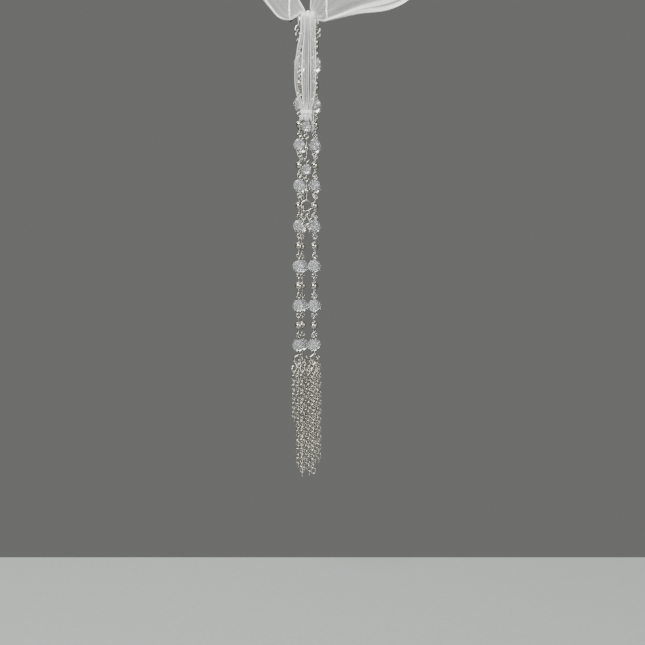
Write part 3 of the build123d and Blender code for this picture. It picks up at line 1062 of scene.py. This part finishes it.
@dataclass(frozen=True)
class ChainLink:
    """Sizes of one oval link and how it sits on its neighbour.

    Attributes:
        length_r: Half its length along the wire's middle.
        width_r: Half its width along the wire's middle.
        wire_r: Radius of its wire.
        pitch: Distance between neighbouring link centres.
        gap: Clearance to the ring it hangs on.
        steps: Points round the oval.
        sides: Points round the wire.
    """

    length_r: float = 1.475
    width_r: float = 1.08
    wire_r: float = 0.27
    pitch: float = 2.32
    gap: float = 0.05
    steps: int = 16
    sides: int = 6

    def hook(self, ring_r: float, ring_wire_r: float, angle: float) -> Point:
        """Centre of the first link on a ring, at an angle in degrees from straight down."""
        turn = math.radians(angle)
        reach = self.length_r - (ring_wire_r + self.wire_r + self.gap) / math.cos(turn)
        return ring_r * math.sin(turn), 0.0, -ring_r * math.cos(turn) - reach

    def centres(self, hook: Point, out: float, deep: float, count: int) -> np.ndarray:
        """Link centres of one chain: it moves out by its second link and to its depth by its third.

        Args:
            hook: Centre of the first link.
            out: Sideways place of the rest.
            deep: Depth that the chain settles at.
            count: Number of links.

        Returns:
            Array of shape (count, 3).
        """
        index = np.arange(count)
        x = np.where(index == 0, hook[0], out)
        y = hook[1] + (deep - hook[1]) * np.minimum(index / 2, 1)
        fall = np.sqrt(self.pitch**2 - np.diff(x) ** 2 - np.diff(y) ** 2)
        z = hook[2] - np.concatenate([[0.0], np.cumsum(fall)])
        return np.stack([x, y, z], -1)

    def mesh(self, centres: np.ndarray) -> tuple[np.ndarray, np.ndarray]:
        """Closed oval tubes at the centres, every second link turned a quarter.

        The oval is (width cos t, width sin t) pulled apart by the straight part; its tube is a ring of
        points across the outward direction and the oval's own normal.

        Args:
            centres: Link centres down one chain, shape (count, 3).

        Returns:
            Points (count, steps, sides, 3) and the faces of one link.
        """
        count = len(centres)
        index = np.arange(count)
        before, after = centres[np.maximum(index - 1, 0)], centres[np.minimum(index + 1, count - 1)]
        up = (before - after) / np.linalg.norm(before - after, axis=1, keepdims=True)
        flat = np.where((index % 2 == 0)[:, None], [0.0, 1.0, 0.0], [1.0, 0.0, 0.0])
        flat = flat - up * np.sum(flat * up, axis=1, keepdims=True)
        flat /= np.linalg.norm(flat, axis=1, keepdims=True)
        normal = np.cross(flat, up)
        t = (np.arange(self.steps) + 0.5) * 2 * math.pi / self.steps
        a = np.arange(self.sides) * 2 * math.pi / self.sides
        grow = self.width_r + self.wire_r * np.cos(a)[None, :]
        wide = np.cos(t)[:, None] * grow
        tall = np.sin(t)[:, None] * grow + np.sign(np.sin(t))[:, None] * (self.length_r - self.width_r)
        thick = np.broadcast_to(self.wire_r * np.sin(a)[None, :], wide.shape)
        points = centres[:, None, None, :] + wide[None, ..., None] * flat[:, None, None, :]
        points = points + tall[None, ..., None] * up[:, None, None, :]
        points = points + thick[None, ..., None] * normal[:, None, None, :]
        return points, grid_faces(self.steps, self.sides, True, True)


@dataclass(frozen=True)
class Tassel:
    """Chains that hang on one ring.

    Attributes:
        ring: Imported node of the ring.
        body: Body the chains ride on.
        ring_r: Radius of the ring's middle line.
        ring_wire_r: Radius of its wire.
        groups: Packed chain node to its chains, each (angle, out, deep, links).
    """

    ring: str
    body: str
    ring_r: float
    ring_wire_r: float
    groups: dict[str, list[tuple[float, float, float, int]]]

    def build(self, link: ChainLink, finishes: Finishes) -> None:
        """One piece for each packed chain node.

        Args:
            link: The link sizes.
            finishes: The materials.
        """
        low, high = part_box(self.ring)
        middle = ((np.array(low) + np.array(high)) / 2 - KNOT) / MM
        for node, chains in self.groups.items():
            runs = [
                link.centres(link.hook(self.ring_r, self.ring_wire_r, angle), out, deep, count)
                for angle, out, deep, count in chains
            ]
            points, faces = zip(*(link.mesh(run) for run in runs))
            grid = np.concatenate(points)
            shift = (np.arange(len(grid)) * link.steps * link.sides)[:, None, None]
            quads = (faces[0][None] + shift).reshape(-1, 4)
            piece = new_piece(f"{node}_links", grid.reshape(-1, 3) + middle, quads)
            finishes.dress(piece, Slot.CHROME)
            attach(piece, self.body)
            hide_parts(node)


def plan_tassels() -> list[Tassel]:
    """The four big tassels and the two little chains of the centre strand.

    Returns:
        The tassels, with chain depths turned over between the sides so that inner chains pass.
    """
    angle, out, deep = 40, 2.0, 1.0
    clasp_angle, clasp_out, clasp_links = 30, 1.42, 5
    links = {
        "left_front": (-1, (13, 23, 25)),
        "left_back": (-1, (19, 25, 24)),
        "right_front": (1, (25, 24, 18)),
        "right_back": (1, (24, 22, 23)),
    }
    tassels = []
    for name, (side, (first, middle, last)) in links.items():
        groups = {
            f"{name}_outer_chains": [(-angle, -out, side * deep, first), (angle, out, side * deep, last)],
            f"{name}_middle_chains": [(0, 0.0, side * -deep, middle)],
        }
        ring, body = f"{name}_tassel_ring", f"{name}_tassel"
        tassels.append(Tassel(ring, body, ring_r=2.15, ring_wire_r=0.35, groups=groups))
    clasp = {
        "centre_chains": [
            (-clasp_angle, -clasp_out, 0.0, clasp_links),
            (clasp_angle, clasp_out, 0.0, clasp_links),
        ]
    }
    tassels.append(Tassel("centre_clasp_ring", "centre_strand", ring_r=2.6, ring_wire_r=0.4, groups=clasp))
    return tassels


# ---- studio


@dataclass
class Studio:
    """Pale floor, grey surroundings, soft lights and the camera.

    Attributes:
        floor_drop: Height of the floor under the knot, in metres.
        floor_half: Half its width, in metres.
        floor_front: Place of its front edge, in metres.
        floor_back: Place of its back edge, in metres.
        distance: Camera distance from the plane of the strands, in metres.
        camera_drop: Camera height under the knot, in metres.
        camera_right: Camera offset to the right of the knot, in metres.
        pitch: Camera tilt down, in degrees.
        lens: Focal length, in millimetres.
    """

    floor_drop: float = 0.300
    floor_half: float = 0.7
    floor_front: float = -0.55
    floor_back: float = 0.066
    distance: float = 0.338
    camera_drop: float = 0.130
    camera_right: float = 0.00725
    pitch: float = 3.5
    lens: float = 37.4

    def floor(self) -> None:
        """A pale table top with a faint grain; its back edge stands just behind the strands."""
        x = self.floor_half * np.array([-1, 1, 1, -1])
        y = np.array([self.floor_front, self.floor_front, self.floor_back, self.floor_back])
        corners = np.stack([x, y, np.full(4, -self.floor_drop)], -1) / MM
        plane = new_piece("studio_floor", corners, np.array([[0, 1, 2, 3]]))
        material, nodes, shader = new_material("studio_floor")
        place = nodes.add("ShaderNodeTexCoord")
        noise = nodes.add("ShaderNodeTexNoise")
        noise.inputs["Scale"].default_value = 400.0
        nodes.link(place.outputs["Object"], noise.inputs["Vector"])
        colour = nodes.mix_colour(noise.outputs[0], (0.3, 0.32, 0.308, 1), (0.345, 0.365, 0.35, 1))
        nodes.link(colour, shader.inputs["Base Color"])
        shader.inputs["Roughness"].default_value = 0.8
        plane.data.materials.append(material)

    def world(self) -> None:
        """Even mid grey surroundings."""
        world = bpy.data.worlds.new("studio")
        world.use_nodes = True
        bpy.context.scene.world = world
        world.node_tree.nodes["Background"].inputs["Color"].default_value = (0.155, 0.159, 0.15, 1)

    def light(self, name: str, place: Point, size: float, power: float) -> None:
        """A soft square light that looks at the strands.

        Args:
            name: Light name.
            place: Place from the knot, in metres.
            size: Side of the light, in metres.
            power: Power in watts.
        """
        data = bpy.data.lights.new(name, "AREA")
        data.size = size
        data.energy = power
        lamp = new_object(name, data)
        spot = Vector(KNOT) + Vector(place)
        lamp.location = spot
        aim = Vector(KNOT) + Vector((0, 0, -0.1))
        lamp.rotation_euler = (aim - spot).to_track_quat("-Z", "Y").to_euler()

    def camera(self) -> None:
        """The camera at its viewing angle, as the scene's camera."""
        data = bpy.data.cameras.new("studio_camera")
        data.lens = self.lens
        data.sensor_width = 36.0
        data.clip_start = 0.01
        camera = new_object("studio_camera", data)
        camera.location = Vector(KNOT) + Vector((self.camera_right, -self.distance, -self.camera_drop))
        camera.rotation_euler = (math.radians(90.0 - self.pitch), 0.0, 0.0)
        bpy.context.scene.camera = camera

    def build(self) -> None:
        """Floor, surroundings, three lights and the camera."""
        self.floor()
        self.world()
        self.light("key_light", (-0.4, -0.8, 0.55), size=0.6, power=26.0)
        self.light("fill_light", (0.75, -0.55, 0.1), size=0.6, power=7.0)
        self.light("back_light", (-0.15, 0.55, 0.5), size=0.5, power=5.0)
        self.camera()


def main() -> None:
    """Builds the finishes, the ribbon, the chains and the studio, in that order."""
    logging.basicConfig(level=logging.INFO, format="%(message)s")
    finishes = Finishes()
    finishes.build()
    finishes.dress_frame()
    Ribbon().build(finishes)
    link = ChainLink()
    for tassel in plan_tassels():
        tassel.build(link, finishes)
    Studio().build()


if __name__ == "__main__":
    main()
